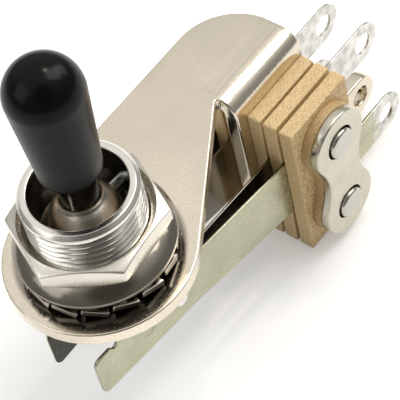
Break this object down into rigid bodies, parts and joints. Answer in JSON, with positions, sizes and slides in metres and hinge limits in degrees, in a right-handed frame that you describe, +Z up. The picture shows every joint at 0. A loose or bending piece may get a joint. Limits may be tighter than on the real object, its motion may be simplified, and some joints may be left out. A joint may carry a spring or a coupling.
{
  "type": "guitar pickup selector switch",
  "caption": "Right-angle toggle switch: folded plate with threaded bushing and nut, black-tipped lever, and a side stack of spring blades between fibre insulators with solder lugs.",
  "frame": {"origin": "on the bushing axis at the top face of the frame plate, where the panel seats", "axes": "+Z up the bushing towards the lever tip; +X towards the contact stack and its lugs; +Y to the left of the stack"},
  "size_m": [0.0523, 0.0207, 0.0508],
  "materials": {
    "frame_nickel": "satin nickel-plated sheet steel",
    "bushing_nickel": "bright nickel, turned and threaded",
    "nut_nickel": "bright nickel",
    "washer_nickel": "bright nickel, shaded dome",
    "lock_steel": "bright spring steel",
    "pin_steel": "ground steel",
    "lever_chrome": "polished chrome",
    "tip_black": "satin black moulded plastic",
    "follower_nylon": "natural nylon",
    "fibre_board": "speckled tan pressed fibre",
    "leaf_silvered": "bright spring metal, tinned lugs",
    "blade_zinc": "olive zinc finish, tinned lugs",
    "contact_silver": "silver contact metal",
    "fibre_spacer": "tan fibre sheet",
    "clamp_nickel": "satin nickel",
    "sleeve_fibre": "brown fibre tube",
    "screw_steel": "nickel-plated steel"
  },
  "bodies": {
    "frame": {"frame_plate": "frame_nickel", "threaded_bushing": "bushing_nickel", "dished_washer": "washer_nickel", "lock_washer": "lock_steel", "pivot_pin": "pin_steel", "inner_insulator_left": "fibre_board", "middle_insulator_left": "fibre_board", "outer_insulator_left": "fibre_board", "contact_leaf_left": "leaf_silvered", "spring_blade_left": "blade_zinc", "leaf_contact_left": "contact_silver", "blade_contact_left": "contact_silver", "end_spacer_left": "fibre_spacer", "clamp_plate_left": "clamp_nickel", "inner_insulator_right": "fibre_board", "middle_insulator_right": "fibre_board", "outer_insulator_right": "fibre_board", "contact_leaf_right": "leaf_silvered", "spring_blade_right": "blade_zinc", "leaf_contact_right": "contact_silver", "blade_contact_right": "contact_silver", "end_spacer_right": "fibre_spacer", "clamp_plate_right": "clamp_nickel", "upper_sleeve": "sleeve_fibre", "lower_sleeve": "sleeve_fibre", "clamp_screws": "screw_steel"},
    "lever": {"toggle_lever": "lever_chrome", "lever_tip": "tip_black", "lever_follower": "follower_nylon"},
    "nut": {"hex_nut": "nut_nickel"}
  },
  "joints": [
    {"name": "lever_tilt", "type": "hinge", "parent": "frame", "child": "lever", "pos_m": [0, 0, 0.0056], "axis": [1, 0, 0], "range_deg": [-10, 10], "deforming": ["spring_blade_left", "spring_blade_right"]},
    {"name": "nut_turn", "type": "hinge", "parent": "frame", "child": "nut", "pos_m": [0, 0, 0.0057], "axis": [0, 0, 1], "continuous": true}
  ]
}
